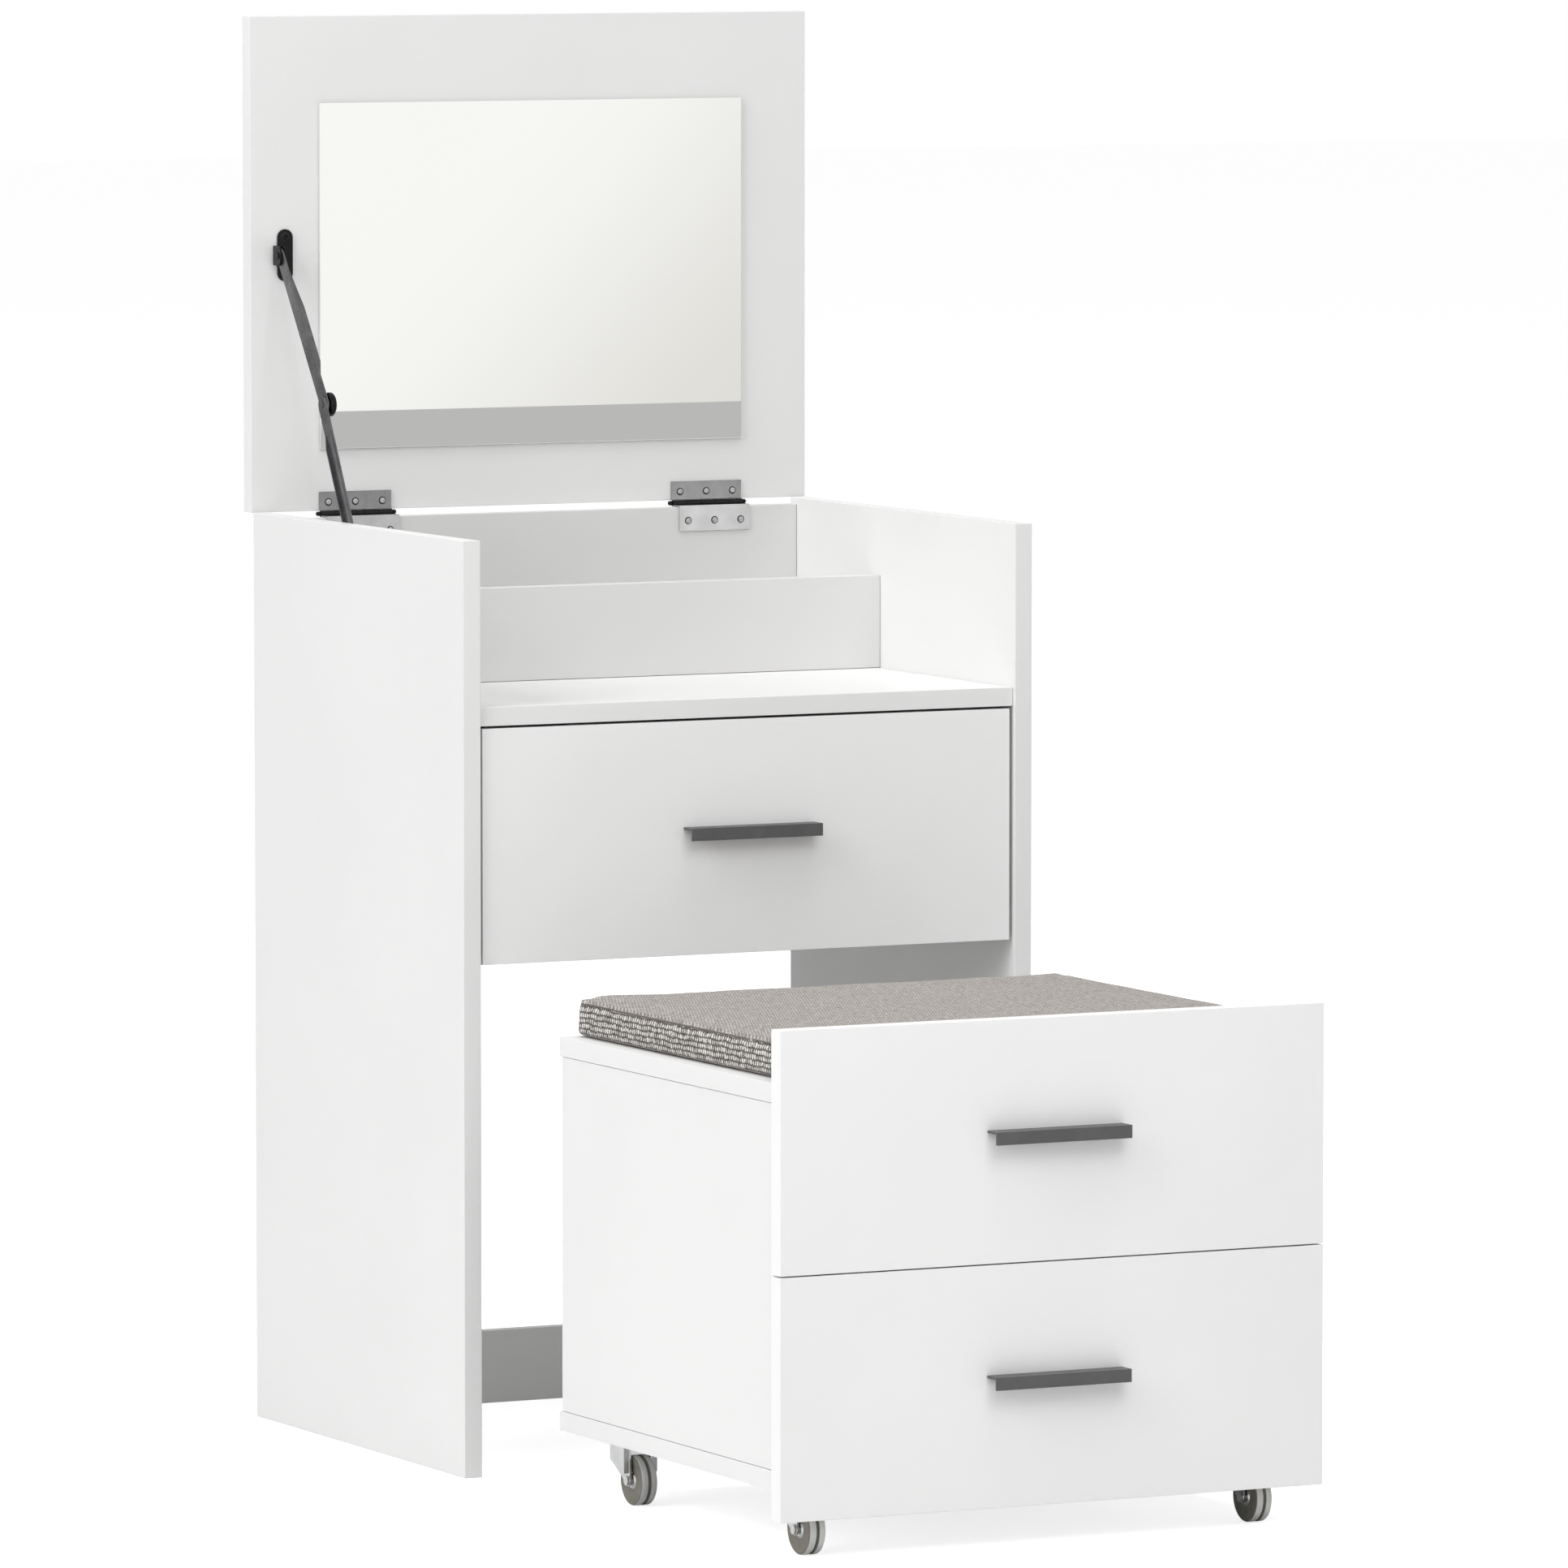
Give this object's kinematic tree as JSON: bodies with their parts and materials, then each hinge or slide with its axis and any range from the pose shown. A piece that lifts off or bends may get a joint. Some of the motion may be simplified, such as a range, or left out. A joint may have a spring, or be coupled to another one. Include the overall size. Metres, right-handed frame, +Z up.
{
  "type": "vanity table with mirror",
  "caption": "Narrow dressing table with a flip-up mirror lid on a folding stay, a drawer, and a cushioned drawer stool on casters that parks in the knee space.",
  "frame": {"origin": "on the floor, in the middle of the box that holds the open table and its rolled-out stool", "axes": "+Z up; +Y from the front of the table towards the wall behind it; +X to the right of somebody facing the table"},
  "size_m": [0.5, 0.9484, 1.135],
  "materials": {
    "white_board": "white melamine-faced chipboard with matching edge band, satin",
    "drawer_bottom_sheet": "thin white-faced hardboard, matte",
    "mirror": "plain silvered glass with ground edges",
    "hinge_steel": "nickel-plated pressed steel",
    "stay_metal": "black-coated pressed steel, semi-gloss",
    "stay_knob": "black moulded plastic, gloss",
    "handle_metal": "dark grey powder coat, satin",
    "runner_plastic": "white moulded plastic",
    "seat_fabric": "taupe and ecru tweed weave with a darker seam",
    "caster_zinc": "bright zinc-plated pressed steel",
    "caster_rubber": "grey rubber, two light tread bands with a dark groove"
  },
  "bodies": {
    "table": {"left_side_panel": "white_board", "right_side_panel": "white_board", "back_panel": "white_board", "shelf_board": "white_board", "divider_board": "white_board", "rear_floor_rail": "white_board", "table_left_runner": "runner_plastic", "table_right_runner": "runner_plastic", "left_hinge_fixed_leaf": "hinge_steel", "right_hinge_fixed_leaf": "hinge_steel", "stay_side_bracket": "stay_metal"},
    "lid": {"lid_panel": "white_board", "mirror_glass": "mirror", "left_hinge_lid_leaf": "hinge_steel", "right_hinge_lid_leaf": "hinge_steel", "stay_lid_bracket": "stay_metal"},
    "stay_upper": {"stay_upper_arm": "stay_metal", "stay_knob": "stay_knob"},
    "stay_lower": {"stay_lower_arm": "stay_metal"},
    "table_drawer": {"table_drawer_front": "white_board", "table_drawer_left_side": "white_board", "table_drawer_right_side": "white_board", "table_drawer_bottom": "drawer_bottom_sheet", "table_drawer_back": "white_board", "table_drawer_handle": "handle_metal"},
    "stool": {"stool_bottom_board": "white_board", "stool_top_board": "white_board", "stool_back_board": "white_board", "stool_left_side": "white_board", "stool_right_side": "white_board", "stool_cushion": "seat_fabric", "stool_lower_left_runner": "runner_plastic", "stool_lower_right_runner": "runner_plastic", "stool_upper_left_runner": "runner_plastic", "stool_upper_right_runner": "runner_plastic", "caster_front_left_plate": "caster_zinc", "caster_front_right_plate": "caster_zinc", "caster_rear_left_plate": "caster_zinc", "caster_rear_right_plate": "caster_zinc"},
    "stool_upper_drawer": {"stool_upper_drawer_front": "white_board", "stool_upper_drawer_left_side": "white_board", "stool_upper_drawer_right_side": "white_board", "stool_upper_drawer_bottom": "drawer_bottom_sheet", "stool_upper_drawer_back": "white_board", "stool_upper_drawer_handle": "handle_metal"},
    "stool_lower_drawer": {"stool_lower_drawer_front": "white_board", "stool_lower_drawer_left_side": "white_board", "stool_lower_drawer_right_side": "white_board", "stool_lower_drawer_bottom": "drawer_bottom_sheet", "stool_lower_drawer_back": "white_board", "stool_lower_drawer_handle": "handle_metal"},
    "caster_front_left_swivel": {"caster_front_left_fork": "caster_zinc"},
    "caster_front_left_wheel": {"caster_front_left_wheel": "caster_rubber"},
    "caster_front_right_swivel": {"caster_front_right_fork": "caster_zinc"},
    "caster_front_right_wheel": {"caster_front_right_wheel": "caster_rubber"},
    "caster_rear_left_swivel": {"caster_rear_left_fork": "caster_zinc"},
    "caster_rear_left_wheel": {"caster_rear_left_wheel": "caster_rubber"},
    "caster_rear_right_swivel": {"caster_rear_right_fork": "caster_zinc"},
    "caster_rear_right_wheel": {"caster_rear_right_wheel": "caster_rubber"}
  },
  "joints": [
    {"name": "lid_hinge", "type": "hinge", "parent": "table", "child": "lid", "pos_m": [0, 0.45645, 0.7327], "axis": [1, 0, 0], "range_deg": [0, 90]},
    {"name": "stay_lid_pivot", "type": "hinge", "parent": "lid", "child": "stay_upper", "pos_m": [-0.22795, 0.44925, 0.9425], "axis": [1, 0, 0], "range_deg": [-123.1, 0.5]},
    {"name": "stay_side_pivot", "type": "hinge", "parent": "table", "child": "stay_lower", "pos_m": [-0.22985, 0.28205, 0.6773], "axis": [1, 0, 0], "range_deg": [-0.5, 120.42]},
    {"name": "table_drawer_slide", "type": "slide", "parent": "table", "child": "table_drawer", "axis": [0, -1, 0], "range_m": [0, 0.28]},
    {"name": "stool_roll", "type": "slide", "parent": "table", "child": "stool", "axis": [0, 1, 0], "range_m": [0, 0.5125]},
    {"name": "stool_upper_drawer_slide", "type": "slide", "parent": "stool", "child": "stool_upper_drawer", "axis": [0, -1, 0], "range_m": [0, 0.27]},
    {"name": "stool_lower_drawer_slide", "type": "slide", "parent": "stool", "child": "stool_lower_drawer", "axis": [0, -1, 0], "range_m": [0, 0.27]},
    {"name": "caster_front_left_swivel", "type": "hinge", "parent": "stool", "child": "caster_front_left_swivel", "pos_m": [-0.1905, -0.40325, 0.045], "axis": [0, 0, 1], "continuous": true},
    {"name": "caster_front_left_roll", "type": "hinge", "parent": "caster_front_left_swivel", "child": "caster_front_left_wheel", "pos_m": [-0.1905, -0.42125, 0.0195], "axis": [1, 0, 0], "continuous": true},
    {"name": "caster_front_right_swivel", "type": "hinge", "parent": "stool", "child": "caster_front_right_swivel", "pos_m": [0.1905, -0.40325, 0.045], "axis": [0, 0, 1], "continuous": true},
    {"name": "caster_front_right_roll", "type": "hinge", "parent": "caster_front_right_swivel", "child": "caster_front_right_wheel", "pos_m": [0.1905, -0.42125, 0.0195], "axis": [1, 0, 0], "continuous": true},
    {"name": "caster_rear_left_swivel", "type": "hinge", "parent": "stool", "child": "caster_rear_left_swivel", "pos_m": [-0.1905, -0.11575, 0.045], "axis": [0, 0, 1], "continuous": true},
    {"name": "caster_rear_left_roll", "type": "hinge", "parent": "caster_rear_left_swivel", "child": "caster_rear_left_wheel", "pos_m": [-0.1905, -0.13375, 0.0195], "axis": [1, 0, 0], "continuous": true},
    {"name": "caster_rear_right_swivel", "type": "hinge", "parent": "stool", "child": "caster_rear_right_swivel", "pos_m": [0.1905, -0.11575, 0.045], "axis": [0, 0, 1], "continuous": true},
    {"name": "caster_rear_right_roll", "type": "hinge", "parent": "caster_rear_right_swivel", "child": "caster_rear_right_wheel", "pos_m": [0.1905, -0.13375, 0.0195], "axis": [1, 0, 0], "continuous": true}
  ],
  "couplings": [
    {"joint": "stay_lid_pivot", "follows": "lid_hinge", "ratio": -1.3622},
    {"joint": "stay_side_pivot", "follows": "lid_hinge", "ratio": 1.3324}
  ]
}
